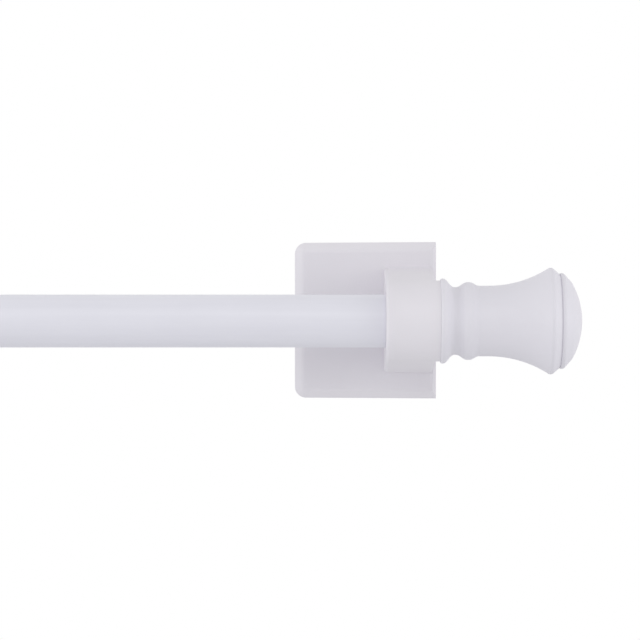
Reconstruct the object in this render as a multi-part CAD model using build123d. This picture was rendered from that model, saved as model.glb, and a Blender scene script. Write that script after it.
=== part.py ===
from build123d import *
from math import acos, atan2, cos, hypot, radians, sin, tan
import os

# White adjustable curtain rod with a magnetic bracket and a trumpet finial at each end.
# Millimetres. +X runs along the rod to the right-hand finial, +Y points into the door, +Z is up.
# The origin is the middle of the right bracket's back face, on the door.

# Tubes
rod_diameter = 15.9
tube_wall = 0.5
slide_clearance = 0.3
closed_span = 406.4
bare_inner_length = 12.0
tail_room = 10.0
nose_length = 3.0
nose_taper = 1.5
nose_clearance = 0.15

# Bracket plate
plate_width = 43.5
plate_height = 48.3
plate_depth = 8.2
plate_draft = 0.35
corner_radius = 3.4
edge_bevel = 2.3
outer_edge_bevel = 1.3

# Bracket collar
standoff = 24.0
collar_radius = 12.17
collar_length = 16.3
collar_overhang = 0.3
root_half_height = 16.2
root_bury = 1.0
collar_inner_round = 1.2
collar_outer_chamfer = 0.15
bore_clearance = 0.15
bore_chamfer = 0.5

# Magnet pocket in the back of the plate
rim_wall = 2.4
pocket_depth = 6.2
pocket_round = 1.5
divider_height = 2.4
divider_reach = 3.0
pocket_clearance = 0.2
backing_thickness = 1.2
magnet_recess = 0.2
pad_thickness = 0.8
pad_inset = 0.6

# Inserts in the tube ends, and the sleeve in the left collar
insert_length = 18.0
insert_flange = 1.2
insert_rib_height = 0.6
insert_rib_width = 1.6
insert_rib_count = 6
press_gap = 0.1
end_recess = 0.2
sleeve_flange = 1.0
sleeve_flange_lap = 1.2

# Spigot that holds the finial in the rod
spigot_diameter = 8.8
spigot_length = 15.0
spigot_web = 2.2
spigot_clearance = 0.1
spigot_lead = 0.8

# Turned outline of the finial, in order from its seat on the collar to its lip
seat_gap = 0.05
ring_edge_round = 0.6
ring_width = 0.74
ring_radius = 12.78
ring_to_cove = 3.5
cove_width = 0.35
cove_radius = 10.18
cove_to_bead = 3.58
bead_width = 0.5
bead_radius = 11.68
bead_to_neck = 3.1
neck_length = 2.75
neck_radius = 10.6
flare_length = 18.73
rim_radius = 16.35
rim_round = 1.2
bevel_length = 2.65
lip_radius = 14.05
curve_fullness = 0.42

# Hollow of the finial, and the cap that closes it
base_thickness = 4.0
shell_wall = 1.8
socket_depth = 4.2
cap_radius = 14.4
cap_edge_chamfer = 0.25
cap_band = 1.1
cap_bevel = 2.5
brow_radius = 11.6
dome_rise = 3.1
shoulder_round = 1.2
brow_round = 2.5
cap_wall = 2.0
plug_wall = 1.4
plug_length = 3.6
plug_clearance = 0.1
plug_lead = 0.5

# Levels and places that follow from the sizes above
plate_back_y = -pad_thickness
plate_front_y = plate_back_y - plate_depth
rod_axis_y = plate_front_y - standoff
outer_face_x = plate_width / 2
collar_outer_x = outer_face_x + collar_overhang
collar_inner_x = collar_outer_x - collar_length
left_middle_x = 2 * outer_face_x - closed_span

outer_bore_radius = rod_diameter / 2 - tube_wall
inner_tube_radius = outer_bore_radius - slide_clearance
inner_bore_radius = inner_tube_radius - tube_wall
collar_bore_radius = rod_diameter / 2 + bore_clearance
tube_end_inset = end_recess + insert_flange
tube_end_x = collar_outer_x - tube_end_inset
mouth_x = left_middle_x - collar_inner_x + bare_inner_length
tail_x = tube_end_x - insert_length - tail_room

plate_inner_height = plate_height - 2 * plate_width * tan(radians(plate_draft))
pocket_length = plate_width - 2 * rim_wall
pocket_height = plate_inner_height - 2 * rim_wall
pocket_floor_y = plate_back_y - pocket_depth

cove_start = ring_width + ring_to_cove
bead_start = cove_start + cove_width + cove_to_bead
neck_start = bead_start + bead_width + bead_to_neck
flare_start = neck_start + neck_length
rim_place = flare_start + flare_length
lip_place = rim_place + bevel_length
socket_radius = lip_radius - shell_wall


def tube(outside, inside, length):
    """A round tube along +X, starting at x = 0."""
    return extrude(Plane.YZ * (Circle(outside) - Circle(inside)), length)


def swell(start, end):
    """A turner's S-curve between two levels, flat at both ends."""
    reach = curve_fullness * (end[0] - start[0])
    return Bezier(start, (start[0] + reach, start[1]), (end[0] - reach, end[1]), end)


def eased(face, corner, radius):
    """The face with the one corner at a given point made round."""
    return fillet(face.vertices().sort_by_distance(corner)[:1], radius)


def plate_outline():
    """The drafted plate seen from the front, with round corners on the side that faces the curtain."""
    outer_x = plate_width / 2
    outer_z = plate_height / 2
    inner_z = plate_inner_height / 2
    corners = [(outer_x, -outer_z), (outer_x, outer_z), (-outer_x, inner_z), (-outer_x, -inner_z)]
    outline = make_face(Polyline(*corners, close=True))
    return fillet(outline.vertices().group_by(Axis.X)[0], corner_radius)


def bracket_plate():
    """The plate as a block, with three front edges well bevelled and the outer one less so."""
    block = extrude(Plane.XZ.offset(-plate_back_y) * plate_outline(), plate_depth)
    front_edges = block.faces().sort_by(Axis.Y)[0].edges().sort_by(Axis.X)
    block = chamfer(front_edges[:-1], edge_bevel)
    outer_face = block.faces().sort_by(Axis.X)[-1]
    return chamfer(outer_face.edges().sort_by(Axis.Y)[0], outer_edge_bevel)


def collar_section():
    """An arch round the rod whose sides run tangent to a wider root on the plate."""
    root_distance = hypot(standoff, root_half_height)
    touch_angle = atan2(root_half_height, standoff) + acos(collar_radius / root_distance)
    touch = Vector(rod_axis_y + collar_radius * cos(touch_angle), collar_radius * sin(touch_angle))
    root = Vector(plate_front_y, root_half_height)
    buried = root + (root - touch).normalized() * root_bury
    crown = Vector(rod_axis_y - collar_radius, 0)
    upper = Line(buried, touch)
    lower = mirror(upper, about=Plane.XZ)
    arch = ThreePointArc(touch, crown, (touch.X, -touch.Y))
    return make_face([upper, arch, lower, Line((buried.X, -buried.Y), buried)])


def collar():
    """A barrel along +X past the outer side of the plate, on a web that ends at the plate's bevel."""
    web_end_x = outer_face_x - outer_edge_bevel
    web = extrude(Plane.YZ.offset(collar_inner_x) * collar_section(), web_end_x - collar_inner_x)
    inner_rim = web.faces().sort_by(Axis.X)[0].edges().sort_by(Axis.Y)[:-1]
    web = fillet(inner_rim, collar_inner_round)
    barrel = extrude(Plane.YZ.offset(web_end_x) * Circle(collar_radius), collar_outer_x - web_end_x)
    outer_rim = barrel.faces().sort_by(Axis.X)[-1].edges()
    barrel = chamfer(outer_rim, collar_outer_chamfer)
    return web + Pos(0, rod_axis_y, 0) * barrel


def collar_bore():
    """What the rod's hole removes, with a chamfer at each end."""
    entry_radius = collar_bore_radius + bore_chamfer
    outline = Polyline(
        (0, 0),
        (0, entry_radius),
        (bore_chamfer, collar_bore_radius),
        (collar_length - bore_chamfer, collar_bore_radius),
        (collar_length, entry_radius),
        (collar_length, 0),
        close=True,
    )
    return Pos(collar_inner_x, rod_axis_y, 0) * revolve(make_face(outline), Axis.X)


def pocket_outline(clearance):
    """The pocket less a clearance all round, notched by two ribs that keep the magnets apart."""
    length = pocket_length - 2 * clearance
    height = pocket_height - 2 * clearance
    rib = Rectangle(2 * (divider_reach + clearance), divider_height + 2 * clearance)
    ribs = [Pos(side * pocket_length / 2, 0) * rib for side in (-1, 1)]
    return RectangleRounded(length, height, pocket_round) - ribs


def bracket_housing():
    """Plate and collar in one moulding, with the magnet pocket in its back."""
    pocket = extrude(Plane.XZ.offset(-plate_back_y) * pocket_outline(0), pocket_depth)
    return bracket_plate() + collar() - collar_bore() - pocket


def backing_plate():
    """Steel sheet on the pocket's floor, notched round the ribs."""
    outline = pocket_outline(pocket_clearance)
    return extrude(Plane.XZ.offset(-pocket_floor_y) * outline, -backing_thickness)


def magnet(side):
    """Block magnet above (side = 1) or below (side = -1) the pocket's ribs."""
    length = pocket_length - 2 * pocket_clearance
    height = (pocket_height - divider_height) / 2 - 2 * pocket_clearance
    thickness = pocket_depth - backing_thickness - magnet_recess
    middle_z = side * (pocket_height + divider_height) / 4
    outline = Pos(0, middle_z) * RectangleRounded(length, height, pocket_round)
    back_y = plate_back_y - magnet_recess
    return extrude(Plane.XZ.offset(-back_y) * outline, thickness)


def grip_pad():
    """Thin sheet over the back of the bracket, which lies on the door."""
    outline = offset(plate_outline(), -pad_inset, kind=Kind.INTERSECTION)
    return extrude(Plane.XZ * outline, pad_thickness)


def outer_tube():
    """The larger tube, with its mouth drawn in to guide the smaller one."""
    length = tube_end_x - mouth_x
    nose_bore = inner_tube_radius + nose_clearance
    taper_end = nose_length + nose_taper
    outline = Polyline(
        (0, nose_bore),
        (0, nose_bore + tube_wall),
        (nose_length, nose_bore + tube_wall),
        (taper_end, rod_diameter / 2),
        (length, rod_diameter / 2),
        (length, outer_bore_radius),
        (taper_end, outer_bore_radius),
        (nose_length, nose_bore),
        close=True,
    )
    return Pos(mouth_x, rod_axis_y, 0) * revolve(make_face(outline), Axis.X)


def inner_tube():
    """The smaller tube, from the left end to its tail inside the larger one."""
    start_x = left_middle_x - tube_end_x
    return Pos(start_x, rod_axis_y, 0) * tube(inner_tube_radius, inner_bore_radius, tail_x - start_x)


def end_insert(tube_radius):
    """Plug for the right-hand end of a tube: a flange on the tube's end and a ribbed body in its bore."""
    grip_radius = tube_radius - tube_wall - press_gap
    spigot_hole = Circle(spigot_diameter / 2 + spigot_clearance)
    rib = Pos(grip_radius / 2, 0) * Rectangle(grip_radius, insert_rib_width)
    ribs = [Rot(0, 0, 360 / insert_rib_count * turn) * rib for turn in range(insert_rib_count)]
    body = (Circle(grip_radius - insert_rib_height) + ribs) & Circle(grip_radius)
    plug = extrude(Plane.YZ * (body - spigot_hole), -insert_length)
    flange = extrude(Plane.YZ * (Circle(tube_radius) - spigot_hole), insert_flange)
    return Pos(tube_end_x, rod_axis_y, 0) * (plug + flange)


def reducer_sleeve():
    """Bush that fills a collar round the smaller tube, with a flange on the collar's inner face."""
    bore = inner_tube_radius + bore_clearance
    bush = tube(collar_bore_radius - press_gap, bore, collar_length - end_recess)
    flange = Pos(-sleeve_flange, 0, 0) * tube(collar_bore_radius + sleeve_flange_lap, bore, sleeve_flange)
    return Pos(collar_inner_x, rod_axis_y, 0) * (bush + flange)


def spigot():
    """Cross-shaped stem along -X, with a lead-in at its tip."""
    radius = spigot_diameter / 2
    cross = Rectangle(spigot_diameter, spigot_web) + Rectangle(spigot_web, spigot_diameter)
    stem = extrude(Plane.YZ.offset(-spigot_length) * cross, spigot_length + base_thickness)
    envelope = Polyline(
        (-spigot_length, 0),
        (-spigot_length, radius - spigot_lead),
        (spigot_lead - spigot_length, radius),
        (base_thickness, radius),
        (base_thickness, 0),
        close=True,
    )
    return stem & revolve(make_face(envelope), Axis.X)


def finial_body():
    """Trumpet shell along +X from its seat, hollow from the lip, with the spigot behind it."""
    core_radius = cove_radius - shell_wall
    seat_edge = (0, ring_radius - ring_edge_round)
    ring_crest = [(ring_edge_round, ring_radius), (ring_width, ring_radius)]
    cove = [(cove_start, cove_radius), (cove_start + cove_width, cove_radius)]
    bead = [(bead_start, bead_radius), (bead_start + bead_width, bead_radius)]
    neck = [(neck_start, neck_radius), (flare_start, neck_radius)]
    rim = (rim_place, rim_radius)
    outside = [
        TangentArc(seat_edge, ring_crest[0], tangent=(0, 1)),
        Line(*ring_crest),
        swell(ring_crest[1], cove[0]),
        Line(*cove),
        swell(cove[1], bead[0]),
        Line(*bead),
        swell(bead[1], neck[0]),
        Line(*neck),
        TangentArc(neck[1], rim, tangent=(1, 0)),
        Line(rim, (lip_place, lip_radius)),
    ]
    inside = Polyline(
        (lip_place, lip_radius),
        (lip_place, socket_radius),
        (lip_place - socket_depth, socket_radius),
        (flare_start, core_radius),
        (base_thickness, core_radius),
        (base_thickness, 0),
        (0, 0),
        seat_edge,
    )
    section = eased(make_face([*outside, inside]), rim, rim_round)
    return revolve(section, Axis.X) + spigot()


def finial_cap():
    """Bevelled and domed cap that sits on the trumpet's lip, its plug in the socket."""
    band_end = lip_place + cap_band
    bevel_end = band_end + cap_bevel
    apex = bevel_end + dome_rise
    plug_radius = socket_radius - plug_clearance
    hollow_radius = plug_radius - plug_wall
    plug_end = lip_place - plug_length
    shoulder = (band_end, cap_radius)
    brow = (bevel_end, brow_radius)
    outline = [
        TangentArc((apex, 0), brow, tangent=(0, 1)),
        Polyline(
            brow,
            shoulder,
            (lip_place + cap_edge_chamfer, cap_radius),
            (lip_place, cap_radius - cap_edge_chamfer),
            (lip_place, plug_radius),
            (plug_end + plug_lead, plug_radius),
            (plug_end, plug_radius - plug_lead),
            (plug_end, hollow_radius),
            (band_end, hollow_radius),
            (apex - cap_wall, 0),
            (apex, 0),
        ),
    ]
    section = eased(make_face(outline), shoulder, shoulder_round)
    return revolve(eased(section, brow, brow_round), Axis.X)


def main():
    """Make every piece, put it in its place and write it to a file of its own."""
    finial_seat = Pos(collar_outer_x + seat_gap, rod_axis_y, 0)
    right_end = Location((0, 0, 0))
    left_end = Location((left_middle_x, 0, 0), (0, 180, 0))
    pieces = {
        "outer_tube": outer_tube(),
        "inner_tube": inner_tube(),
        "right_end_insert": right_end * end_insert(rod_diameter / 2),
        "left_end_insert": left_end * end_insert(inner_tube_radius),
        "left_reducer_sleeve": left_end * reducer_sleeve(),
    }
    for side, end in (("right", right_end), ("left", left_end)):
        pieces[f"{side}_bracket_housing"] = end * bracket_housing()
        pieces[f"{side}_backing_plate"] = end * backing_plate()
        pieces[f"{side}_magnet_upper"] = end * magnet(1 if side == "right" else -1)
        pieces[f"{side}_magnet_lower"] = end * magnet(-1 if side == "right" else 1)
        pieces[f"{side}_grip_pad"] = end * grip_pad()
        pieces[f"{side}_finial_body"] = end * finial_seat * finial_body()
        pieces[f"{side}_finial_cap"] = end * finial_seat * finial_cap()
    os.makedirs("parts", exist_ok=True)
    for name, piece in pieces.items():
        export_step(piece, f"parts/{name}.step")


main()
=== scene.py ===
"""Dressed model of a white magnetic curtain rod: two brackets, a telescoping rod and two finials."""

import logging
import math
from collections.abc import Callable, Iterable, Mapping
from dataclasses import dataclass
from enum import Enum
from functools import cached_property

import bpy
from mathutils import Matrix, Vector


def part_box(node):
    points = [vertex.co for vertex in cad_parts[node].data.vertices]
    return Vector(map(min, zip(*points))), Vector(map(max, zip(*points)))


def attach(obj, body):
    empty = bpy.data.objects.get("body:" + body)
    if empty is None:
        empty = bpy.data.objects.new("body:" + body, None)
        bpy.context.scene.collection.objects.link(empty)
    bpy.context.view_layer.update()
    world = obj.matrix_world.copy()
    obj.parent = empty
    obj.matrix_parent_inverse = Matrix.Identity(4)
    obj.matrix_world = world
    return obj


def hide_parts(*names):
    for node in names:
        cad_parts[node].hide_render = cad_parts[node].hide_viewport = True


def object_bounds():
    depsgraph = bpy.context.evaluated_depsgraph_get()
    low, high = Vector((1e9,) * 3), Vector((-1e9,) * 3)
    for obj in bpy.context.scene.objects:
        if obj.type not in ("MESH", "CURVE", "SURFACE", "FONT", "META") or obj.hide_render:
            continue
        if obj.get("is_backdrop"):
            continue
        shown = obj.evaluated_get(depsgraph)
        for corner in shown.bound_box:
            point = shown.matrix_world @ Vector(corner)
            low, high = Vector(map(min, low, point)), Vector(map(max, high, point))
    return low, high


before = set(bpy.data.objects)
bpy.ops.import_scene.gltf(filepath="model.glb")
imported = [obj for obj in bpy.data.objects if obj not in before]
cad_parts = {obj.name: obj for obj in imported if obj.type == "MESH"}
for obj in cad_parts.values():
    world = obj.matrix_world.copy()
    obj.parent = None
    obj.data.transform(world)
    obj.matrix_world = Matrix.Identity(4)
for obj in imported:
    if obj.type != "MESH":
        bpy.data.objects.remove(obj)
CAD_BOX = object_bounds()

Piece = bpy.types.Object
Material = bpy.types.Material
Point = tuple[float, float]
Limits = tuple[float, float]
Colour = tuple[float, float, float, float]
EdgeRule = Callable[[Vector, Vector], bool]

LOG = logging.getLogger("curtain_rod")
MM = 0.001
WELD_DISTANCE = 0.001 * MM
SMOOTH_ANGLE = math.radians(32.0)
SMALL_ROUND_STEPS = 4
MIDDLE_TONE = 0.5
WHITE: Colour = (1.0, 1.0, 1.0, 1.0)

# What a wave texture turns through in one unit at a scale of 1
WAVE_RADIANS = 20.0

# Where a Mix node keeps its factor, its two colours and the colour that it gives
MIX_FACTOR, MIX_FIRST, MIX_SECOND, MIX_RESULT = 0, 6, 7, 2


class Slot(Enum):
    """The record's finish slots."""

    ROD_PAINT = "rod_paint"
    BRACKET_PLASTIC = "bracket_plastic"
    FINIAL_PLASTIC = "finial_plastic"
    INSERT_PLASTIC = "insert_plastic"
    MAGNET_FERRITE = "magnet_ferrite"
    BACKING_STEEL = "backing_steel"
    PAD_RUBBER = "pad_rubber"


class End(Enum):
    """The two ends of the rod, as its nodes and bodies name them."""

    RIGHT = "right"
    LEFT = "left"

    def name_of(self, piece: str) -> str:
        """Return the name of this end's own copy of a piece."""
        return f"{self.value}_{piece}"


class Axis(Enum):
    """The axis that a row of bands runs across."""

    ALONG_ROD = "X"
    UPRIGHT = "Z"


class Combine(Enum):
    """What a tool shape does to the piece that it meets."""

    JOIN = "UNION"
    CUT = "DIFFERENCE"
    KEEP = "INTERSECT"


class Value:
    """A shader socket that adds Math nodes when an expression uses it."""

    def __init__(self, graph: "Graph", socket: bpy.types.NodeSocket | None) -> None:
        """Keep the socket with the graph that it belongs to."""
        self.graph = graph
        self.socket = socket

    def _math(self, operation: str, first: "Operand", second: "Operand") -> "Value":
        """Return the result of one Math node."""
        return self.graph.add("ShaderNodeMath", {"operation": operation}, {0: first, 1: second})

    def __add__(self, other: "Operand") -> "Value":
        """Return self + other."""
        return self._math("ADD", self, other)

    def __radd__(self, other: "Operand") -> "Value":
        """Return other + self."""
        return self._math("ADD", other, self)

    def __sub__(self, other: "Operand") -> "Value":
        """Return self - other."""
        return self._math("SUBTRACT", self, other)

    def __rsub__(self, other: "Operand") -> "Value":
        """Return other - self."""
        return self._math("SUBTRACT", other, self)

    def __mul__(self, other: "Operand") -> "Value":
        """Return self * other."""
        return self._math("MULTIPLY", self, other)

    def __rmul__(self, other: "Operand") -> "Value":
        """Return other * self."""
        return self._math("MULTIPLY", other, self)


Operand = Value | float
Setting = Operand | Colour | tuple[float, float, float]


@dataclass(frozen=True)
class Noise:
    """A layer of noise: blots in a metre, finer layers in it, its share and its scale along the rod."""

    per_metre: float
    detail: float
    share: float = 1.0
    along: float = 1.0
    roughness: float = 0.5


Layers = tuple[Noise, ...]


class Graph:
    """A node tree that is built one node at a time."""

    def __init__(self, owner: Material | bpy.types.World) -> None:
        """Empty the node tree of a new material or world and keep it.

        Args:
            owner: The material or world.
        """
        owner.use_nodes = True
        self.tree = owner.node_tree
        self.tree.nodes.clear()

    def add(
        self,
        kind: str,
        settings: Mapping[str, str] | None = None,
        inputs: Mapping[str | int, Setting] | None = None,
        output: str | int = 0,
    ) -> Value:
        """Add one node, set it up and link what feeds it.

        Args:
            kind: The node's type.
            settings: Its own properties, which are set first.
            inputs: A number, colour, vector or link for each socket, by name or place.
            output: The socket that the result is read from, by name or place.

        Returns:
            The chosen output, or an empty value for a node that has none.
        """
        node = self.tree.nodes.new(kind)
        for name, setting in (settings or {}).items():
            setattr(node, name, setting)
        for name, value in (inputs or {}).items():
            if isinstance(value, Value):
                self.tree.links.new(value.socket, node.inputs[name])
            else:
                node.inputs[name].default_value = value
        return Value(self, node.outputs[output] if node.outputs else None)

    def place(self, along: float = 1.0) -> Value:
        """Return the object's own coordinates, in metres, those along the rod scaled."""
        place = self.add("ShaderNodeTexCoord", output="Object")
        return self.add("ShaderNodeMapping", {}, {"Vector": place, "Scale": (along, 1.0, 1.0)})

    def noise(self, layer: Noise) -> Value:
        """Return one layer of noise, from 0 to 1."""
        blots = {"Scale": layer.per_metre, "Detail": layer.detail, "Roughness": layer.roughness}
        return self.add("ShaderNodeTexNoise", {}, {"Vector": self.place(layer.along)} | blots)

    def layered(self, *layers: Noise) -> Value:
        """Return the sum of some layers of noise, each times its share."""
        parts = [layer.share * self.noise(layer) for layer in layers]
        return sum(parts[1:], parts[0])

    def bands(self, axis: Axis, per_metre: float) -> Value:
        """Return even bands across one axis, that many in a metre."""
        inputs = {"Vector": self.place(), "Scale": per_metre * math.tau / WAVE_RADIANS}
        return self.add("ShaderNodeTexWave", {"bands_direction": axis.value}, inputs, output="Fac")

    def blend(self, factor: Value, first: Colour, second: Colour) -> Value:
        """Return the first colour where the factor is 0 and the second where it is 1."""
        inputs = {MIX_FACTOR: factor, MIX_FIRST: first, MIX_SECOND: second}
        return self.add("ShaderNodeMix", {"data_type": "RGBA"}, inputs, output=MIX_RESULT)

    def spread(self, value: Value, low: float, high: float) -> Value:
        """Return a value eased so that low and less become 0, and high and more become 1."""
        inputs = {"Value": value, "From Min": low, "From Max": high}
        return self.add("ShaderNodeMapRange", {"interpolation_type": "SMOOTHSTEP"}, inputs)


@dataclass(frozen=True)
class Finish:
    """A surface whose tone, gloss and relief vary a little from place to place."""

    name: str
    slot: Slot
    colour: Colour
    shade: Colour
    roughness: float
    roughness_swing: float
    relief_depth: float
    tone: Layers
    tone_limits: Limits = (0.0, 1.0)
    grain: Layers = ()

    def mottle(self, graph: Graph) -> Value:
        """Return how far the tone goes from colour to shade."""
        return graph.spread(graph.layered(*self.tone), *self.tone_limits)

    def relief(self, graph: Graph) -> Value:
        """Return the height of the surface's fine texture, from 0 to 1."""
        return graph.layered(*self.grain)

    def constants(self) -> dict[str, Setting]:
        """Return the shader's settings that are the same all over."""
        return {}

    @cached_property
    def material(self) -> Material:
        """Build the material, once.

        Returns:
            A new material on the object's own coordinates.
        """
        material = bpy.data.materials.new(self.name)
        graph = Graph(material)
        mottle = self.mottle(graph)
        bump = {"Strength": 1.0, "Distance": self.relief_depth, "Height": self.relief(graph)}
        surface = {
            "Base Color": graph.blend(mottle, self.colour, self.shade),
            "Roughness": self.roughness + self.roughness_swing * (mottle - MIDDLE_TONE),
            "Normal": graph.add("ShaderNodeBump", {}, bump),
        }
        shader = graph.add("ShaderNodeBsdfPrincipled", {}, surface | self.constants())
        graph.add("ShaderNodeOutputMaterial", {}, {"Surface": shader})
        return material


@dataclass(frozen=True)
class BakedEnamel(Finish):
    """White enamel on drawn steel tube: faint draw streaks under a soft orange peel."""

    name: str = "white_baked_enamel"
    slot: Slot = Slot.ROD_PAINT
    colour: Colour = (0.78, 0.778, 0.846, 1.0)
    shade: Colour = (0.76, 0.758, 0.826, 1.0)
    roughness: float = 0.42
    roughness_swing: float = 0.08
    relief_depth: float = 0.012 * MM
    # Long streaks along the rod, broken by soft clouds
    tone: Layers = (
        Noise(per_metre=420.0, detail=3.0, share=0.6, along=0.03),
        Noise(per_metre=45.0, detail=2.0, share=0.4),
    )
    tone_limits: Limits = (0.35, 0.65)
    # Orange peel of the baked coat, with finer dust nibs in it
    grain: Layers = (
        Noise(per_metre=900.0, detail=1.0, share=0.8),
        Noise(per_metre=3600.0, detail=1.0, share=0.2),
    )
    coat: float = 0.15
    coat_roughness: float = 0.35

    def constants(self) -> dict[str, Setting]:
        """Return the clear top of the enamel."""
        return {"Coat Weight": self.coat, "Coat Roughness": self.coat_roughness}


@dataclass(frozen=True)
class MouldedPlastic(Finish):
    """White moulded plastic of the brackets: soft flow clouds and the fine spark grain of the mould."""

    name: str = "white_bracket_plastic"
    slot: Slot = Slot.BRACKET_PLASTIC
    colour: Colour = (0.795, 0.774, 0.82, 1.0)
    shade: Colour = (0.775, 0.754, 0.8, 1.0)
    roughness: float = 0.52
    roughness_swing: float = 0.08
    relief_depth: float = 0.01 * MM
    # Soft flow clouds with a fine salt of pigment in them
    tone: Layers = (
        Noise(per_metre=38.0, detail=3.0, share=0.75),
        Noise(per_metre=3600.0, detail=1.0, share=0.25),
    )
    tone_limits: Limits = (0.36, 0.64)
    # The mould's spark grain over a slow waviness
    grain: Layers = (
        Noise(per_metre=3600.0, detail=2.0, share=0.55, roughness=0.6),
        Noise(per_metre=152.0, detail=1.0, share=0.45),
    )


@dataclass(frozen=True)
class RingedPlastic(MouldedPlastic):
    """Plastic of the finials, whose turned mould has left fine tool rings round the rod's axis."""

    name: str = "white_finial_plastic"
    slot: Slot = Slot.FINIAL_PLASTIC
    colour: Colour = (0.77, 0.756, 0.813, 1.0)
    shade: Colour = (0.75, 0.736, 0.793, 1.0)
    roughness: float = 0.48
    relief_depth: float = 0.008 * MM
    grain: Layers = (Noise(per_metre=266.0, detail=2.0),)
    rings_per_metre: float = 1400.0
    ring_share: float = 0.35

    def relief(self, graph: Graph) -> Value:
        """Return the tool's rings, worn uneven by the mould's polish."""
        rings, polish = graph.bands(Axis.ALONG_ROD, self.rings_per_metre), graph.layered(*self.grain)
        return self.ring_share * rings * polish + (1.0 - self.ring_share) * polish


@dataclass(frozen=True)
class NaturalNylon(MouldedPlastic):
    """Unpainted nylon of the plugs and the bush, cloudy and a little translucent."""

    name: str = "natural_nylon"
    slot: Slot = Slot.INSERT_PLASTIC
    colour: Colour = (0.74, 0.735, 0.7, 1.0)
    shade: Colour = (0.7, 0.69, 0.65, 1.0)
    roughness: float = 0.5
    roughness_swing: float = 0.1
    translucence: float = 0.25
    scatter: float = 1.5 * MM

    def constants(self) -> dict[str, Setting]:
        """Return the light that goes into the nylon."""
        return {"Subsurface Weight": self.translucence, "Subsurface Scale": self.scatter}


@dataclass(frozen=True)
class GroundFerrite(Finish):
    """Sintered ferrite, ground on a wheel: straight scratches and open pores."""

    name: str = "ground_ferrite"
    slot: Slot = Slot.MAGNET_FERRITE
    colour: Colour = (0.03, 0.03, 0.032, 1.0)
    shade: Colour = (0.075, 0.074, 0.073, 1.0)
    roughness: float = 0.62
    roughness_swing: float = 0.2
    relief_depth: float = 0.02 * MM
    # Wheel marks with lighter pores in them
    tone: Layers = (
        Noise(per_metre=2600.0, detail=3.0, share=0.6, along=0.02),
        Noise(per_metre=1500.0, detail=2.0, share=0.4),
    )
    tone_limits: Limits = (0.4, 0.7)
    grain: Layers = (Noise(per_metre=2600.0, detail=3.0, along=0.02),)


@dataclass(frozen=True)
class ZincedSteel(Finish):
    """Zinc-plated sheet steel with its faint crystal patches."""

    name: str = "zinc_plated_steel"
    slot: Slot = Slot.BACKING_STEEL
    colour: Colour = (0.56, 0.57, 0.59, 1.0)
    shade: Colour = (0.42, 0.43, 0.45, 1.0)
    roughness: float = 0.38
    roughness_swing: float = 0.16
    relief_depth: float = 0.01 * MM
    tone: Layers = (Noise(per_metre=900.0, detail=2.0, share=0.3),)
    grain: Layers = (Noise(per_metre=2000.0, detail=2.0),)
    patches_per_metre: float = 240.0
    patch_share: float = 0.7
    metallic: float = 1.0

    def mottle(self, graph: Graph) -> Value:
        """Return flat crystal patches, each with its own tone, under a soft bloom.

        Args:
            graph: The material's graph.

        Returns:
            How far the tone goes from colour to shade.
        """
        inputs = {"Vector": graph.place(), "Scale": self.patches_per_metre}
        patch = graph.add("ShaderNodeTexVoronoi", {"feature": "F1"}, inputs, output="Color")
        tone = graph.add("ShaderNodeSeparateColor", {}, {"Color": patch}, output="Red")
        return self.patch_share * tone + graph.layered(*self.tone)

    def constants(self) -> dict[str, Setting]:
        """Return the sheet's metal."""
        return {"Metallic": self.metallic}


@dataclass(frozen=True)
class GripRubber(Finish):
    """Dark rubber sheet with a pressed cross-rib and a little pale dust."""

    name: str = "grip_rubber"
    slot: Slot = Slot.PAD_RUBBER
    colour: Colour = (0.045, 0.045, 0.047, 1.0)
    shade: Colour = (0.09, 0.09, 0.09, 1.0)
    roughness: float = 0.78
    roughness_swing: float = 0.12
    relief_depth: float = 0.12 * MM
    tone: Layers = (Noise(per_metre=1800.0, detail=3.0), Noise(per_metre=70.0, detail=3.0))
    tone_limits: Limits = (0.2, 0.42)
    ribs_per_metre: float = 800.0
    rib_share: float = 0.5

    def mottle(self, graph: Graph) -> Value:
        """Return dust that lies in soft patches."""
        dust, patches = (graph.noise(layer) for layer in self.tone)
        return graph.spread(dust * patches, *self.tone_limits)

    def relief(self, graph: Graph) -> Value:
        """Return the pressed cross-rib."""
        lengthwise, upright = (graph.bands(axis, self.ribs_per_metre) for axis in Axis)
        return self.rib_share * lengthwise + self.rib_share * upright


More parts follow.
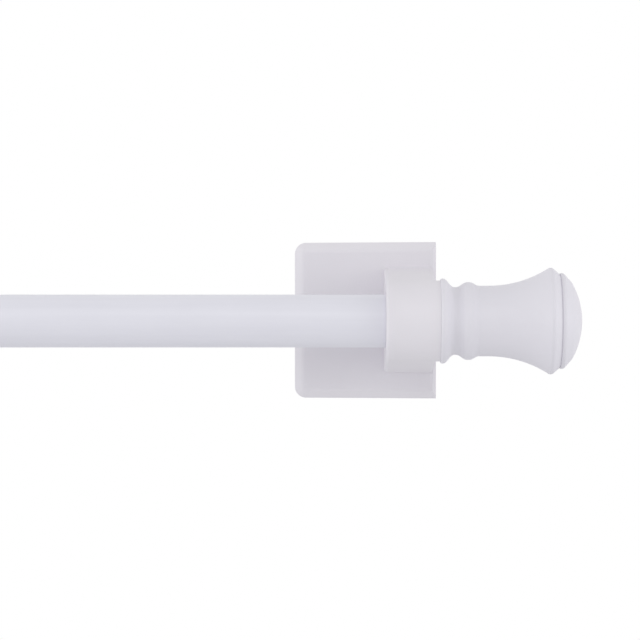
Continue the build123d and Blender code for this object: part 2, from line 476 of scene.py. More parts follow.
class Bench:
    """Modelling steps that the pieces share."""

    @staticmethod
    def activate(piece: Piece) -> None:
        """Make one object the only selected one, and the active one.

        Args:
            piece: The object to work on next.
        """
        bpy.ops.object.select_all(action="DESELECT")
        piece.select_set(True)
        bpy.context.view_layer.objects.active = piece

    @staticmethod
    def named(name: str) -> Piece:
        """Name the active object and what it holds.

        Args:
            name: The name for both.

        Returns:
            The active object.
        """
        piece = bpy.context.object
        piece.name = name
        piece.data.name = name
        return piece

    @staticmethod
    def block(name: str, low: Vector, high: Vector) -> Piece:
        """Add a cube stretched between two corners.

        Args:
            name: The new object's name.
            low: The lowest corner.
            high: The highest corner.

        Returns:
            The block, with its place in its mesh.
        """
        bpy.ops.object.select_all(action="DESELECT")
        bpy.ops.mesh.primitive_cube_add(size=1.0, location=(low + high) / 2, scale=high - low)
        bpy.ops.object.transform_apply(location=True, rotation=True, scale=True)
        return Bench.named(name)

    @staticmethod
    def draw(name: str, points: list[Vector]) -> Piece:
        """Draw a line of edges by extruding one vertex from point to point.

        Args:
            name: The new object's name.
            points: The line's points, the first one repeated at the end of a closed line.

        Returns:
            The new object, left in edit mode with all of the line selected.
        """
        bpy.ops.object.select_all(action="DESELECT")
        bpy.ops.mesh.primitive_plane_add(size=MM)
        piece = Bench.named(name)
        bpy.ops.object.mode_set(mode="EDIT")
        bpy.ops.mesh.select_mode(type="VERT")
        bpy.ops.mesh.select_all(action="SELECT")
        bpy.ops.mesh.merge(type="CENTER")
        bpy.ops.transform.translate(value=points[0])
        for here, there in zip(points, points[1:]):
            bpy.ops.mesh.extrude_region_move(TRANSFORM_OT_translate={"value": there - here})
        bpy.ops.mesh.select_all(action="SELECT")
        return piece

    @staticmethod
    def close_up() -> None:
        """Merge doubles, turn the faces outwards and leave edit mode."""
        bpy.ops.mesh.select_all(action="SELECT")
        bpy.ops.mesh.remove_doubles(threshold=WELD_DISTANCE)
        bpy.ops.mesh.normals_make_consistent(inside=False)
        bpy.ops.object.mode_set(mode="OBJECT")

    @staticmethod
    def pick_edges(piece: Piece, rule: EdgeRule) -> None:
        """Go into edit mode with the edges selected whose two ends satisfy a rule.

        Args:
            piece: The object whose edges are picked.
            rule: Says from an edge's two ends whether it is one of them.
        """
        Bench.activate(piece)
        bpy.ops.object.mode_set(mode="EDIT")
        bpy.ops.mesh.select_mode(type="EDGE")
        bpy.ops.mesh.select_all(action="DESELECT")
        bpy.ops.object.mode_set(mode="OBJECT")
        corners = piece.data.vertices
        for edge in piece.data.edges:
            edge.select = rule(*(corners[index].co for index in edge.vertices))
        bpy.ops.object.mode_set(mode="EDIT")

    @staticmethod
    def round_edges(piece: Piece, rule: EdgeRule, radius: float, steps: int) -> None:
        """Round the edges that satisfy a rule.

        Args:
            piece: The object to work on.
            rule: Says from an edge's two ends whether it is one of them.
            radius: The radius of the round.
            steps: The faces across it.
        """
        Bench.pick_edges(piece, rule)
        bpy.ops.mesh.bevel(offset=radius, segments=steps, affect="EDGES", clamp_overlap=False)
        bpy.ops.object.mode_set(mode="OBJECT")

    @staticmethod
    def flatten(piece: Piece, level_x: float) -> None:
        """Make one face of the narrow ones that a lathe leaves on a flat end.

        Args:
            piece: The turned object.
            level_x: Where its flat end lies along the rod.
        """
        Bench.pick_edges(piece, lambda a, b: max(abs(a.x - level_x), abs(b.x - level_x)) < WELD_DISTANCE)
        bpy.ops.mesh.select_mode(type="FACE")
        bpy.ops.mesh.dissolve_faces()
        bpy.ops.object.mode_set(mode="OBJECT")

    @staticmethod
    def modify(piece: Piece, kind: str, settings: Mapping[str, str | bool | Piece]) -> None:
        """Give an object one modifier and apply it.

        Args:
            piece: The object to work on.
            kind: The modifier's type.
            settings: Its properties.
        """
        Bench.activate(piece)
        bpy.ops.object.modifier_add(type=kind)
        modifier = piece.modifiers[-1]
        for name, setting in settings.items():
            setattr(modifier, name, setting)
        bpy.ops.object.modifier_apply(modifier=modifier.name)

    @staticmethod
    def combine(piece: Piece, tool: Piece, how: Combine) -> None:
        """Join a tool shape to a piece, cut it away or keep what both share, and delete the tool.

        Args:
            piece: The object that stays.
            tool: The object that is used up.
            how: What the tool does.
        """
        Bench.modify(piece, "BOOLEAN", {"operation": how.value, "solver": "EXACT", "object": tool})
        Bench.activate(tool)
        bpy.ops.object.delete()

    @staticmethod
    def smooth(piece: Piece) -> Piece:
        """Shade a piece smooth across its rounds, with the flat faces beside them kept flat.

        Args:
            piece: The piece, whose shape is finished.

        Returns:
            The piece.
        """
        Bench.activate(piece)
        bpy.ops.object.shade_smooth_by_angle(angle=SMOOTH_ANGLE)
        Bench.modify(piece, "WEIGHTED_NORMAL", {"keep_sharp": True})
        return piece

    @staticmethod
    def fit(piece: Piece, finish: Finish, body: str, node: str) -> Piece:
        """Paint a finished piece and put it in a node's stead.

        Args:
            piece: The finished piece.
            finish: Its finish.
            body: The body that it moves with.
            node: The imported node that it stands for.

        Returns:
            The piece.
        """
        piece.data.materials.clear()
        piece.data.materials.append(finish.material)
        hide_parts(node)
        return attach(piece, body)

    @staticmethod
    def repaint(node: str, finish: Finish) -> Piece:
        """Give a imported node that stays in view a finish.

        Args:
            node: The node's name.
            finish: Its finish.

        Returns:
            The node's object.
        """
        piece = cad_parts[node]
        piece.material_slots[0].material = finish.material
        return piece


class Outline:
    """A lathe outline, drawn as (along the axis, out from it) points."""

    def __init__(self, *start: Point) -> None:
        """Start with straight runs between some points."""
        self.points: list[Point] = []
        self.to(*start)

    def to(self, *points: Point) -> "Outline":
        """Draw straight runs to some points, without repeating the last one.

        Args:
            points: The points in order.

        Returns:
            The outline, for the next stretch.
        """
        for point in points:
            if not self.points or math.dist(point, self.points[-1]) > WELD_DISTANCE:
                self.points.append(point)
        return self

    def arc(self, centre: Point, radius: float, start: float, end: float, steps: int) -> "Outline":
        """Draw an arc.

        Args:
            centre: The arc's centre.
            radius: Its radius.
            start: The angle from the axis's direction where it starts, in radians.
            end: The angle where it ends.
            steps: The runs that make it up.

        Returns:
            The outline, for the next stretch.
        """
        for step in range(steps + 1):
            angle = start + (end - start) * step / steps
            self.to((centre[0] + radius * math.cos(angle), centre[1] + radius * math.sin(angle)))
        return self

    def corner(
        self, point: Point, towards: Point, radius: float, steps: int = SMALL_ROUND_STEPS
    ) -> "Outline":
        """Draw a run to a corner that a round eases, from the last point and on towards the next.

        Args:
            point: The sharp corner.
            towards: A point on the run that leaves it.
            radius: The radius of the round.
            steps: The runs that make it up.

        Returns:
            The outline, for the next stretch.
        """
        corner = Vector(point)
        back = (Vector(self.points[-1]) - corner).normalized()
        ahead = (Vector(towards) - corner).normalized()
        half = back.angle(ahead) / 2
        centre = corner + (back + ahead).normalized() * radius / math.sin(half)
        start = corner + back * radius / math.tan(half) - centre
        turn = math.pi - 2 * half
        if back.x * ahead.y - back.y * ahead.x > 0:
            turn = -turn
        angle = math.atan2(start.y, start.x)
        return self.arc((centre.x, centre.y), radius, angle, angle + turn, steps)

    def swell(self, end: Point, fullness: float, steps: int) -> "Outline":
        """Draw a turner's S-curve, flat at both ends.

        Args:
            end: Where it ends.
            fullness: The share of its length over which each end stays nearly flat.
            steps: The runs that make it up.

        Returns:
            The outline, for the next stretch.
        """
        start = self.points[-1]
        reach = fullness * (end[0] - start[0])
        handles = [start, (start[0] + reach, start[1]), (end[0] - reach, end[1]), end]
        for step in range(1, steps + 1):
            part = step / steps
            rest = 1 - part
            weights = [rest**3, 3 * rest**2 * part, 3 * rest * part**2, part**3]
            along = sum(weight * handle[0] for weight, handle in zip(weights, handles))
            out = sum(weight * handle[1] for weight, handle in zip(weights, handles))
            self.to((along, out))
        return self


@dataclass(frozen=True)
class Lathe:
    """Turns outlines about the rod's axis."""

    axis_y: float
    axis_z: float = 0.0
    steps: int = 144

    @staticmethod
    def radius_of(node: str) -> float:
        """Return a round node's outside radius."""
        low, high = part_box(node)
        return (high.y - low.y) / 2

    def turn(self, name: str, start_x: float, outline: Outline) -> Piece:
        """Spin an outline once round the axis.

        Args:
            name: The new object's name.
            start_x: Where the outline's zero lies along the rod.
            outline: The line to turn, closed or with both ends on the axis.

        Returns:
            A closed turned shape.
        """
        line = [Vector((start_x + along, self.axis_y, self.axis_z + out)) for along, out in outline.points]
        piece = Bench.draw(name, line)
        centre = (start_x, self.axis_y, self.axis_z)
        bpy.ops.mesh.spin(steps=self.steps, angle=math.tau, center=centre, axis=(1.0, 0.0, 0.0))
        Bench.close_up()
        return piece


@dataclass
class TelescopingRod:
    """The two painted tubes, the plugs in their ends and the bush round the smaller one."""

    lathe: Lathe
    enamel: Finish = BakedEnamel()
    nylon: Finish = NaturalNylon()
    wall: float = 0.5 * MM
    lip_round: float = 0.14 * MM
    nose_length: float = 3.0 * MM
    nose_taper: float = 1.5 * MM
    nose_gap: float = 0.15 * MM
    nose_round: float = 1.6 * MM
    sleeve_gap: float = 0.15 * MM
    sleeve_flange: float = 1.0 * MM
    sleeve_flange_lap: float = 1.3 * MM
    sleeve_round: float = 0.25 * MM

    def ring(self, corners: list[Point], rounds: list[float]) -> Outline:
        """Draw a closed ring section with eased corners.

        Args:
            corners: The sharp corners, in order.
            rounds: The radius at each corner.

        Returns:
            The closed outline.
        """
        start = (Vector(corners[-1]) + Vector(corners[0])) / 2
        outline = Outline((start.x, start.y))
        for index, (corner, radius) in enumerate(zip(corners, rounds)):
            outline.corner(corner, corners[(index + 1) % len(corners)], radius)
        return outline.to((start.x, start.y))

    def outer_tube(self) -> Piece:
        """Turn the larger tube, its mouth drawn in round the smaller one.

        Returns:
            The tube.
        """
        low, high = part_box("outer_tube")
        length = high.x - low.x
        outside = self.lathe.radius_of("outer_tube")
        nose_bore = self.lathe.radius_of("inner_tube") + self.nose_gap
        taper_end = self.nose_length + self.nose_taper
        corners = [
            (0.0, nose_bore),
            (0.0, nose_bore + self.wall),
            (self.nose_length, nose_bore + self.wall),
            (taper_end, outside),
            (length, outside),
            (length, outside - self.wall),
            (taper_end, outside - self.wall),
            (self.nose_length, nose_bore),
        ]
        lip, bend = self.lip_round, self.nose_round
        outline = self.ring(corners, [lip, lip, bend, bend, lip, lip, bend, bend])
        return self.lathe.turn("painted_outer_tube", low.x, outline)

    def inner_tube(self) -> Piece:
        """Turn the smaller tube.

        Returns:
            The tube.
        """
        low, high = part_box("inner_tube")
        length = high.x - low.x
        outside = self.lathe.radius_of("inner_tube")
        inside = outside - self.wall
        corners = [(0.0, inside), (0.0, outside), (length, outside), (length, inside)]
        outline = self.ring(corners, [self.lip_round] * len(corners))
        return self.lathe.turn("painted_inner_tube", low.x, outline)

    def reducer_sleeve(self) -> Piece:
        """Turn the flanged bush that fills the left collar, from its flange to the left.

        Returns:
            The bush.
        """
        low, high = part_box("left_reducer_sleeve")
        tip = low.x - high.x
        bore = self.lathe.radius_of("inner_tube") + self.sleeve_gap
        flange = self.lathe.radius_of("left_reducer_sleeve")
        bush = flange - self.sleeve_flange_lap
        corners = [
            (0.0, bore),
            (0.0, flange),
            (-self.sleeve_flange, flange),
            (-self.sleeve_flange, bush),
            (tip, bush),
            (tip, bore),
        ]
        outline = self.ring(corners, [self.sleeve_round] * len(corners))
        return self.lathe.turn("nylon_reducer_sleeve", high.x, outline)

    def build(self) -> Iterable[Piece]:
        """Build and dress the rod.

        Returns:
            The pieces, one by one.
        """
        for make, finish, body, node in (
            (self.outer_tube, self.enamel, "outer_rod", "outer_tube"),
            (self.inner_tube, self.enamel, "inner_rod", "inner_tube"),
            (self.reducer_sleeve, self.nylon, "left_bracket", "left_reducer_sleeve"),
        ):
            yield Bench.fit(Bench.smooth(make()), finish, body, node)
        for end in End:
            yield Bench.repaint(end.name_of("end_insert"), self.nylon)


@dataclass
class EndFitting:
    """What the brackets and the finials share: each piece is made for the right-hand end and copied."""

    lathe: Lathe
    middle_x: float

    def fit_both(self, piece: Piece, finish: Finish, body: str, node: str) -> Iterable[Piece]:
        """Fit a right-hand piece, and a copy of it turned half a turn to the left-hand end.

        Args:
            piece: The finished right-hand piece.
            finish: The finish of both.
            body: The body that each moves with, without the end's name.
            node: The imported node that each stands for, without the end's name.

        Returns:
            The two pieces, one by one.
        """
        Bench.activate(piece)
        bpy.ops.object.duplicate(linked=False)
        copy = Bench.named(piece.name.replace(End.RIGHT.value, End.LEFT.value))
        middle = (self.middle_x, 0.0, 0.0)
        bpy.ops.transform.rotate(value=math.pi, orient_axis="Y", center_override=middle)
        bpy.ops.object.transform_apply(location=True, rotation=True, scale=True)
        for end, made in ((End.RIGHT, piece), (End.LEFT, copy)):
            yield Bench.fit(made, finish, end.name_of(body), end.name_of(node))


@dataclass
class MagnetBracket(EndFitting):
    """The moulded plate and collar at each end, with the magnets, steel and pad in its back."""

    plastic: Finish = MouldedPlastic()
    rubber: Finish = GripRubber()
    ferrite: Finish = GroundFerrite()
    steel: Finish = ZincedSteel()
    plate_depth: float = 8.2 * MM
    plate_draft: float = math.radians(0.35)
    corner_radius: float = 3.4 * MM
    corner_steps: int = 12
    edge_bevel: float = 2.3 * MM
    outer_edge_bevel: float = 1.3 * MM
    bevel_steps: int = 1
    crease_ease: float = 0.9 * MM
    side_ease: float = 0.3 * MM
    ease_steps: int = 5
    collar_length: float = 16.3 * MM
    collar_overhang: float = 0.3 * MM
    barrel_front_steps: int = 56
    barrel_back_steps: int = 68
    root_half_height: float = 16.2 * MM
    root_bury: float = 1.0 * MM
    inner_rim_round: float = 1.2 * MM
    inner_rim_steps: int = 7
    outer_rim_round: float = 0.02 * MM
    outer_rim_steps: int = 3
    bore_gap: float = 0.15 * MM
    bore_round: float = 0.5 * MM
    pocket_gap: float = 0.2 * MM
    pocket_round: float = 1.5 * MM
    pocket_steps: int = 6
    divider_reach: float = 3.0 * MM
    pad_inset: float = 0.6 * MM
    pad_edge_round: float = 0.15 * MM
    pad_edge_steps: int = 3
    spare: float = 2.0 * MM
    near: float = 0.01 * MM

    @property
    def box(self) -> tuple[Vector, Vector]:
        """Return the right-hand housing's lowest and highest corners."""
        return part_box("right_bracket_housing")

    def at(self, place: float, *values: float) -> bool:
        """Say whether some coordinates all lie at one place."""
        return all(abs(value - place) < self.near for value in values)

    def across(self, place_x: float) -> EdgeRule:
        """Return the rule for edges that lie across the rod at one place along it."""
        return lambda a, b: self.at(place_x, a.x, b.x)

    def level(self, depth_y: float) -> EdgeRule:
        """Return the rule for edges that lie at one depth, flat to the door."""
        return lambda a, b: self.at(depth_y, a.y, b.y)

    def drafted_block(self, name: str, low: Vector, high: Vector, corner_radius: float) -> Piece:
        """Make a block that narrows towards the curtain, with its two corners there round.

        Args:
            name: The new object's name.
            low: The lowest corner.
            high: The highest corner.
            corner_radius: The radius of the two corners.

        Returns:
            The block.
        """
        block = Bench.block(name, low, high)
        inner_side = self.across(low.x)
        Bench.pick_edges(block, inner_side)
        narrowing = 2 * (high.x - low.x) * math.tan(self.plate_draft) / (high.z - low.z)
        bpy.ops.transform.resize(value=(1.0, 1.0, 1.0 - narrowing))
        bpy.ops.object.mode_set(mode="OBJECT")
        Bench.round_edges(
            block, lambda a, b: inner_side(a, b) and self.at(a.z, b.z), corner_radius, self.corner_steps
        )
        return block

    def plate(self) -> Piece:
        """Make the plate, three of its front edges well bevelled and the outer one less so.

        Returns:
            The plate, with the creases of its bevels eased.
        """
        low, high = self.box
        front = high.y - self.plate_depth
        outer = high.x - self.collar_overhang
        corners = Vector((low.x, front, low.z)), Vector((outer, high.y, high.z))
        plate = self.drafted_block("right_housing", *corners, self.corner_radius)
        inside = outer - self.near
        on_front = self.level(front)
        Bench.round_edges(
            plate, lambda a, b: on_front(a, b) and min(a.x, b.x) < inside, self.edge_bevel, self.bevel_steps
        )
        Bench.round_edges(
            plate,
            lambda a, b: on_front(a, b) and min(a.x, b.x) > inside,
            self.outer_edge_bevel,
            self.bevel_steps,
        )
        for depth, ease in ((front, self.crease_ease), (front + self.edge_bevel, self.side_ease)):
            Bench.round_edges(plate, self.level(depth), ease, self.ease_steps)
        return plate

    def prism(self, name: str, section: list[Point], start_x: float, end_x: float) -> Piece:
        """Draw a closed section across the rod and extrude it along the rod.

        Args:
            name: The new object's name.
            section: The section's (y, z) corners in order.
            start_x: Where the prism starts along the rod.
            end_x: Where it ends.

        Returns:
            The prism.
        """
        prism = Bench.draw(name, [Vector((start_x, *corner)) for corner in (*section, section[0])])
        bpy.ops.mesh.remove_doubles(threshold=WELD_DISTANCE)
        bpy.ops.mesh.edge_face_add()
        bpy.ops.mesh.extrude_region_move(TRANSFORM_OT_translate={"value": (end_x - start_x, 0.0, 0.0)})
        Bench.close_up()
        return prism

    def collar(self) -> Piece:
        """Make the collar: a barrel round the rod, on a web that runs tangent to a wider root.

        Returns:
            The collar, its root a little inside the plate.
        """
        low, high = self.box
        axis_y, axis_z = axis = self.lathe.axis_y, self.lathe.axis_z
        radius = axis_y - low.y
        standoff = high.y - self.plate_depth - axis_y
        slope = math.acos(radius / math.hypot(standoff, self.root_half_height))
        touch = math.atan2(self.root_half_height, standoff) + slope
        turn = math.tau
        front = Outline().arc(axis, radius, touch, turn - touch, self.barrel_front_steps).points
        back = Outline().arc(axis, radius, turn - touch, turn + touch, self.barrel_back_steps).points
        upper_touch = Vector(front[0])
        upper_root = Vector((axis_y + standoff, axis_z + self.root_half_height))
        root = upper_root + (upper_root - upper_touch).normalized() * self.root_bury
        inner_x = high.x - self.collar_length
        web_end_x = high.x - self.collar_overhang - self.outer_edge_bevel
        section = [(root.x, root.y), *front, (root.x, 2 * axis_z - root.y)]
        collar = self.prism("web", section, inner_x, web_end_x)
        Bench.round_edges(
            collar,
            lambda a, b: self.at(inner_x, a.x, b.x) and not self.at(root.x, a.y, b.y),
            self.inner_rim_round,
            self.inner_rim_steps,
        )
        barrel = self.prism("barrel", [*front, *back[1:-1]], web_end_x, high.x)
        Bench.round_edges(barrel, self.across(high.x), self.outer_rim_round, self.outer_rim_steps)
        Bench.combine(collar, barrel, Combine.JOIN)
        return collar

    def bore(self) -> Piece:
        """Make the shape of the rod's hole, which leaves a round edge at each end of the collar.

        Returns:
            The shape to cut away.
        """
        radius = self.lathe.radius_of("outer_tube") + self.bore_gap
        ease, length = self.bore_round, self.collar_length
        rim = radius + ease
        down = 1.5 * math.pi
        outline = Outline((-self.spare, 0.0), (-self.spare, rim))
        outline.arc((ease, rim), ease, math.pi, down, SMALL_ROUND_STEPS)
        outline.arc((length - ease, rim), ease, down, math.tau, SMALL_ROUND_STEPS)
        outline.to((length + self.spare, rim), (length + self.spare, 0.0))
        return self.lathe.turn("bore", self.box[1].x - length, outline)

    def pocket(self) -> Piece:
        """Make the shape of the magnets' pocket, notched by the two ribs that keep them apart.

        Returns:
            The shape to cut away.
        """
        low_steel, high_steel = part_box("right_backing_plate")
        back = self.box[1].y
        rib_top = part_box("right_magnet_upper")[0].z - self.pocket_gap
        grow = Vector((self.pocket_gap, 0.0, self.pocket_gap))
        low = low_steel - grow
        top = high_steel + grow
        pocket = Bench.block("pocket", low, Vector((top.x, back + self.spare, top.z)))
        Bench.round_edges(
            pocket,
            lambda a, b: self.at(a.x, b.x) and self.at(a.z, b.z),
            self.pocket_round,
            self.pocket_steps,
        )
        for inner, outer in ((low.x + self.divider_reach, low.x), (top.x - self.divider_reach, top.x)):
            start = min(inner, outer - self.spare)
            end = max(inner, outer + self.spare)
            rib_low = Vector((start, low.y - self.spare, -rib_top))
            rib_high = Vector((end, back + 2 * self.spare, rib_top))
            Bench.combine(pocket, Bench.block("rib", rib_low, rib_high), Combine.CUT)
        return pocket

    def housing(self) -> Piece:
        """Make the right-hand housing in one piece.

        Returns:
            The housing.
        """
        housing = self.plate()
        Bench.combine(housing, self.collar(), Combine.JOIN)
        for cutter in (self.bore, self.pocket):
            Bench.combine(housing, cutter(), Combine.CUT)
        return Bench.smooth(housing)

    def pad(self) -> Piece:
        """Make the right-hand pad, its edge at the door a little eased.

        Returns:
            The pad.
        """
        low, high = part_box("right_grip_pad")
        pad = self.drafted_block("right_pad", low, high, self.corner_radius - self.pad_inset)
        Bench.round_edges(pad, self.level(high.y), self.pad_edge_round, self.pad_edge_steps)
        return Bench.smooth(pad)

    def build(self) -> Iterable[Piece]:
        """Build and dress both brackets.

        Returns:
            The pieces, one by one.
        """
        housing, pad = self.housing(), self.pad()
        yield from self.fit_both(housing, self.plastic, "bracket", "bracket_housing")
        yield from self.fit_both(pad, self.rubber, "bracket", "grip_pad")
        for end in End:
            yield Bench.repaint(end.name_of("backing_plate"), self.steel)
            yield Bench.repaint(end.name_of("magnet_upper"), self.ferrite)
            yield Bench.repaint(end.name_of("magnet_lower"), self.ferrite)


@dataclass
class Finial(EndFitting):
    """The trumpet with its spigot, and the domed cap that closes it."""

    plastic: Finish = RingedPlastic()
    # The seat all but touches the collar, so that a soft crease shows there and no black line
    seat_reach: float = 0.03 * MM
    ring_edge_round: float = 0.6 * MM
    ring_edge_steps: int = 8
    ring_width: float = 0.74 * MM
    ring_radius: float = 12.78 * MM
    ring_to_cove: float = 3.5 * MM
    cove_width: float = 0.35 * MM
    cove_radius: float = 10.18 * MM
    cove_to_bead: float = 3.58 * MM
    bead_width: float = 0.5 * MM
    bead_radius: float = 11.68 * MM
    bead_to_neck: float = 3.1 * MM
    neck_length: float = 2.75 * MM
    neck_radius: float = 10.6 * MM
    moulding_fullness: float = 0.42
    moulding_steps: int = 16
    flare_length: float = 18.73 * MM
    flare_steps: int = 28
    rim_radius: float = 16.35 * MM
    rim_round: float = 1.2 * MM
    rim_steps: int = 12
    bevel_length: float = 2.65 * MM
    lip_radius: float = 14.05 * MM
    lip_round: float = 0.03 * MM
    base_thickness: float = 4.0 * MM
    shell_wall: float = 1.8 * MM
    socket_depth: float = 4.2 * MM
    spigot_radius: float = 4.4 * MM
    spigot_length: float = 15.0 * MM
    spigot_web: float = 2.2 * MM
    spigot_lead: float = 0.8 * MM
    cap_edge_round: float = 0.3 * MM
    cap_band: float = 1.1 * MM
    cap_bevel: float = 2.5 * MM
    shoulder_round: float = 1.2 * MM
    shoulder_steps: int = 8
    brow_radius: float = 11.6 * MM
    brow_round: float = 2.5 * MM
    dome_rise: float = 3.1 * MM
    dome_steps: int = 24
    cap_wall: float = 2.0 * MM
    plug_wall: float = 1.4 * MM
    plug_length: float = 3.6 * MM
    plug_gap: float = 0.1 * MM
    plug_lead: float = 0.5 * MM

    @property
    def flare_start(self) -> float:
        """Return where the neck starts to flare, from the seat."""
        lower = self.ring_width + self.ring_to_cove + self.cove_width + self.cove_to_bead
        return lower + self.bead_width + self.bead_to_neck + self.neck_length

    @property
    def lip_place(self) -> float:
        """Return where the trumpet ends, from the seat."""
        return self.flare_start + self.flare_length + self.bevel_length

    @property
    def seat_x(self) -> float:
        """Return where the right-hand finial's seat lies along the rod."""
        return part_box("right_finial_body")[1].x - self.lip_place

    @property
    def socket_radius(self) -> float:
        """Return the radius of the socket that the cap's plug goes into."""
        return self.lip_radius - self.shell_wall

    def mouldings(self) -> Outline:
        """Draw the seat ring, cove, bead and neck.

        Returns:
            The outline, up to where the neck starts to flare.
        """
        foot, along, ring = -self.seat_reach, self.ring_width, self.ring_radius
        outline = Outline((foot, 0.0))
        outline.corner((foot, ring), (along, ring), self.ring_edge_round, self.ring_edge_steps)
        outline.to((along, ring))
        for reach, flat, radius in (
            (self.ring_to_cove, self.cove_width, self.cove_radius),
            (self.cove_to_bead, self.bead_width, self.bead_radius),
            (self.bead_to_neck, self.neck_length, self.neck_radius),
        ):
            outline.swell((along + reach, radius), self.moulding_fullness, self.moulding_steps)
            along += reach + flat
            outline.to((along, radius))
        return outline

    def trumpet_outline(self) -> Outline:
        """Draw the trumpet: its mouldings, the flare, the round rim, the bevel and the hollow.

        Returns:
            The outline, from the axis at the seat to the axis at the hollow's floor.
        """
        outline = self.mouldings()
        start, neck = self.flare_start, self.neck_radius
        rise = self.rim_radius - neck
        flare = (self.flare_length**2 + rise**2) / (2 * rise)
        crest = self.lathe.radius_of("right_finial_body")
        turn = math.acos(1 - (crest - neck) / (flare + self.rim_round))
        down = -math.pi / 2
        outline.arc((start, neck + flare), flare, down, down + turn, self.flare_steps)
        rim_centre = (start + (flare + self.rim_round) * math.sin(turn), crest - self.rim_round)
        bevel = math.atan2(self.rim_radius - self.lip_radius, self.bevel_length)
        outline.arc(rim_centre, self.rim_round, turn - down, -bevel - down, self.rim_steps)
        end, socket = self.lip_place, self.socket_radius
        outline.corner((end, self.lip_radius), (end, socket), self.lip_round)
        outline.corner((end, socket), (start, socket), self.lip_round)
        core = self.cove_radius - self.shell_wall
        floor = self.base_thickness
        return outline.to((end - self.socket_depth, socket), (start, core), (floor, core), (floor, 0.0))

    def spigot(self) -> Piece:
        """Make the cross-shaped stem, with a lead-in at its tip.

        Returns:
            The stem, its root inside the trumpet's base.
        """
        seat, axis_y, axis_z = self.seat_x, self.lathe.axis_y, self.lathe.axis_z
        tip, inside = -self.spigot_length, self.base_thickness / 2
        radius, lead, half_web = self.spigot_radius, self.spigot_lead, self.spigot_web / 2
        # The webs reach past the turned envelope, which then shapes all of their edges
        reach = radius + lead
        webs = []
        for half_y, half_z in ((reach, half_web), (half_web, reach)):
            low = Vector((seat + tip, axis_y - half_y, axis_z - half_z))
            high = Vector((seat + inside, axis_y + half_y, axis_z + half_z))
            webs.append(Bench.block("spigot", low, high))
        stem, other = webs
        Bench.combine(stem, other, Combine.JOIN)
        outline = Outline((tip, 0.0), (tip, radius - lead), (tip + lead, radius))
        outline.to((inside, radius), (inside, 0.0))
        envelope = self.lathe.turn("envelope", seat, outline)
        for end in (tip, inside):
            Bench.flatten(envelope, seat + end)
        Bench.combine(stem, envelope, Combine.KEEP)
        return stem

    def trumpet(self) -> Piece:
        """Make the right-hand trumpet with its spigot.

        Returns:
            The trumpet.
        """
        trumpet = self.lathe.turn("right_trumpet", self.seat_x, self.trumpet_outline())
        Bench.flatten(trumpet, self.seat_x - self.seat_reach)
        Bench.combine(trumpet, self.spigot(), Combine.JOIN)
        return Bench.smooth(trumpet)

    def cap_outline(self) -> Outline:
        """Draw the cap from its tip: dome, bevel, band, seat, plug and hollow.

        Returns:
            The outline, from the axis at the tip to the axis inside it.
        """
        seat = self.lip_place
        band_end = seat + self.cap_band
        bevel_end = band_end + self.cap_bevel
        apex = bevel_end + self.dome_rise
        radius = self.lathe.radius_of("right_finial_cap")
        brow = (bevel_end, self.brow_radius)
        shoulder = (band_end, radius)
        dome_radius = (self.dome_rise**2 + self.brow_radius**2) / (2 * self.dome_rise)
        last_step = math.asin(self.brow_radius / dome_radius) * (1 - 1 / self.dome_steps)
        plug = self.socket_radius - self.plug_gap
        hollow = plug - self.plug_wall
        plug_end = seat - self.plug_length
        outline = Outline((apex, 0.0))
        outline.arc((apex - dome_radius, 0.0), dome_radius, 0.0, last_step, self.dome_steps - 1)
        outline.corner(brow, shoulder, self.brow_round)
        outline.corner(shoulder, (seat, radius), self.shoulder_round, self.shoulder_steps)
        outline.corner((seat, radius), (seat, plug), self.cap_edge_round)
        outline.to((seat, plug), (plug_end + self.plug_lead, plug), (plug_end, plug - self.plug_lead))
        return outline.to((plug_end, hollow), (band_end, hollow), (apex - self.cap_wall, 0.0))

    def cap(self) -> Piece:
        """Make the right-hand cap."""
        return Bench.smooth(self.lathe.turn("right_cap", self.seat_x, self.cap_outline()))

    def build(self) -> Iterable[Piece]:
        """Build and dress both finials.

        Returns:
            The pieces, one by one.
        """
        trumpet, cap = self.trumpet(), self.cap()
        yield from self.fit_both(trumpet, self.plastic, "finial", "finial_body")
        yield from self.fit_both(cap, self.plastic, "finial", "finial_cap")


@dataclass(frozen=True)
class Lamp:
    """A soft square lamp, placed from the picture's middle, with its power in watts."""

    name: str
    offset: tuple[float, float, float]
    size: float
    power: float


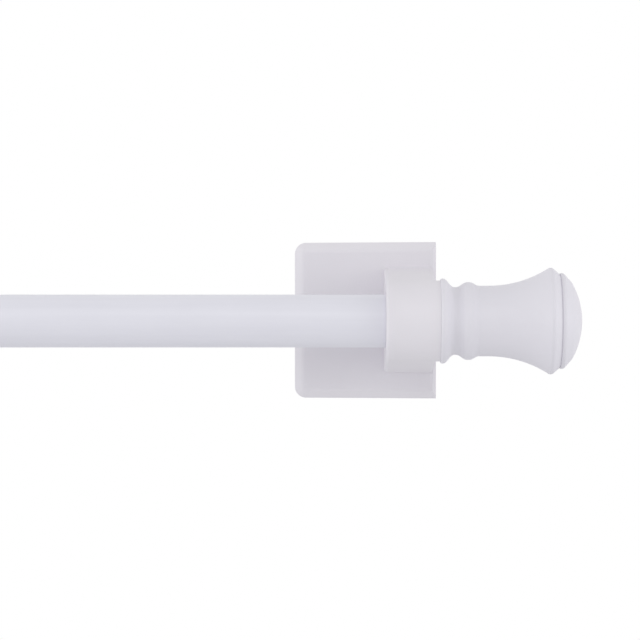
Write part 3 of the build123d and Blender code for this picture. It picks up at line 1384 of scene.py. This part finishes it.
@dataclass
class Studio:
    """Pale floor, white surroundings, soft lamps and the camera of the product view."""

    axis_y: float
    picture_width: float = 192.3 * MM
    picture_middle_x: float = -14.0 * MM
    picture_middle_z: float = 0.31 * MM
    camera_distance: float = 0.955
    camera_lift: float = math.radians(0.5)
    sensor_width: float = 36.0
    floor_drop: float = 0.28
    floor_size: float = 30.0
    floor_colour: Colour = (0.86, 0.86, 0.87, 1.0)
    fade_start: float = 0.55
    fade_end: float = 1.15
    sky_strength: float = 0.71
    lamps: tuple[Lamp, ...] = (
        Lamp("left_lamp", offset=(-1.25, -0.4, 0.1), size=1.2, power=5.5),
        Lamp("right_lamp", offset=(1.25, -0.4, 0.1), size=1.2, power=4.9),
        Lamp("front_lamp", offset=(0.0, -1.2, 0.7), size=0.5, power=1.4),
    )

    @property
    def target(self) -> Vector:
        """Return the point that the picture is centred on."""
        return Vector((self.picture_middle_x, self.axis_y, self.picture_middle_z))

    def aim(self, thing: Piece) -> None:
        """Turn a lamp or camera towards the picture's middle."""
        thing.rotation_euler = (self.target - thing.location).to_track_quat("-Z", "Y").to_euler()

    def seen_straight(self, graph: Graph) -> Value:
        """Tell what the camera sees, also in a reflection or through glass, from what lights a surface.

        Args:
            graph: The graph of the floor or the sky.

        Returns:
            1 for what the camera sees and 0 for the rest.
        """
        kinds = ("Camera", "Glossy", "Transmission")
        rays = [graph.add("ShaderNodeLightPath", output=f"Is {kind} Ray") for kind in kinds]
        return graph.add("ShaderNodeClamp", {}, {"Value": sum(rays[1:], rays[0])})

    def floor_material(self) -> Material:
        """Make the floor's finish: pale paint that fades to white with distance.

        Returns:
            The material.
        """
        material = bpy.data.materials.new("pale_studio_floor")
        graph = Graph(material)
        place = graph.add("ShaderNodeTexCoord", output="Object")
        distance = graph.add("ShaderNodeVectorMath", {"operation": "LENGTH"}, {0: place}, output="Value")
        fade = graph.spread(distance, self.fade_start, self.fade_end)
        paint = graph.add("ShaderNodeBsdfDiffuse", {}, {"Color": self.floor_colour})
        white = graph.add("ShaderNodeEmission", {}, {"Strength": 1.0})
        factor = fade * self.seen_straight(graph)
        mix = graph.add("ShaderNodeMixShader", {}, {0: factor, 1: paint, 2: white})
        graph.add("ShaderNodeOutputMaterial", {}, {"Surface": mix})
        return material

    def floor(self) -> None:
        """Lay the floor under the object."""
        low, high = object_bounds()
        middle = (low + high) / 2
        bpy.ops.object.select_all(action="DESELECT")
        place = (middle.x, middle.y, low.z - self.floor_drop)
        bpy.ops.mesh.primitive_plane_add(size=self.floor_size, location=place)
        floor = Bench.named("studio_floor")
        floor.data.materials.append(self.floor_material())
        floor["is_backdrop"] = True

    def sky(self) -> None:
        """Light the object from all round, in front of plain white."""
        world = bpy.data.worlds.new("studio_white")
        bpy.context.scene.world = world
        graph = Graph(world)
        strength = self.sky_strength + (1.0 - self.sky_strength) * self.seen_straight(graph)
        light = graph.add("ShaderNodeBackground", {}, {"Color": WHITE, "Strength": strength})
        graph.add("ShaderNodeOutputWorld", {}, {"Surface": light})

    def hang(self, lamp: Lamp) -> None:
        """Hang one lamp and turn it towards the picture's middle.

        Args:
            lamp: Its place, size and power.
        """
        bpy.ops.object.select_all(action="DESELECT")
        bpy.ops.object.light_add(type="AREA", location=self.target + Vector(lamp.offset))
        light = Bench.named(lamp.name)
        light.data.energy = lamp.power
        light.data.size = lamp.size
        self.aim(light)

    def camera(self) -> None:
        """Set up the camera at the product view's angle and framing."""
        back = Vector((0.0, -math.cos(self.camera_lift), math.sin(self.camera_lift)))
        bpy.ops.object.select_all(action="DESELECT")
        bpy.ops.object.camera_add(location=self.target + back * self.camera_distance)
        camera = Bench.named("product_camera")
        camera.data.sensor_width = self.sensor_width
        camera.data.lens = self.sensor_width * self.camera_distance / self.picture_width
        self.aim(camera)
        bpy.context.scene.camera = camera

    def build(self) -> None:
        """Set up the floor, the light and the camera."""
        self.floor()
        self.sky()
        for lamp in self.lamps:
            self.hang(lamp)
        self.camera()
        bpy.context.scene.view_settings.view_transform = "Standard"


def save_sizes() -> None:
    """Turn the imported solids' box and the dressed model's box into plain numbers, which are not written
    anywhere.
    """
    boxes = {"cad": CAD_BOX, "visual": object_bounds()}
    plain = {name: [list(corner) for corner in box] for name, box in boxes.items()}


def main() -> None:
    """Build the rod's sub-assemblies in order and report each piece."""
    logging.basicConfig(level=logging.INFO, format="%(name)s: %(message)s")
    tube_low, tube_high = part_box("outer_tube")
    lathe = Lathe(axis_y=(tube_low.y + tube_high.y) / 2)
    middle_x = (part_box("right_bracket_housing")[1].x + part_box("left_bracket_housing")[0].x) / 2
    for assembly in (TelescopingRod(lathe), MagnetBracket(lathe, middle_x), Finial(lathe, middle_x)):
        for piece in assembly.build():
            LOG.info("%s: %d faces", piece.name, len(piece.data.polygons))
    Studio(lathe.axis_y).build()
    save_sizes()


if __name__ == "__main__":
    main()
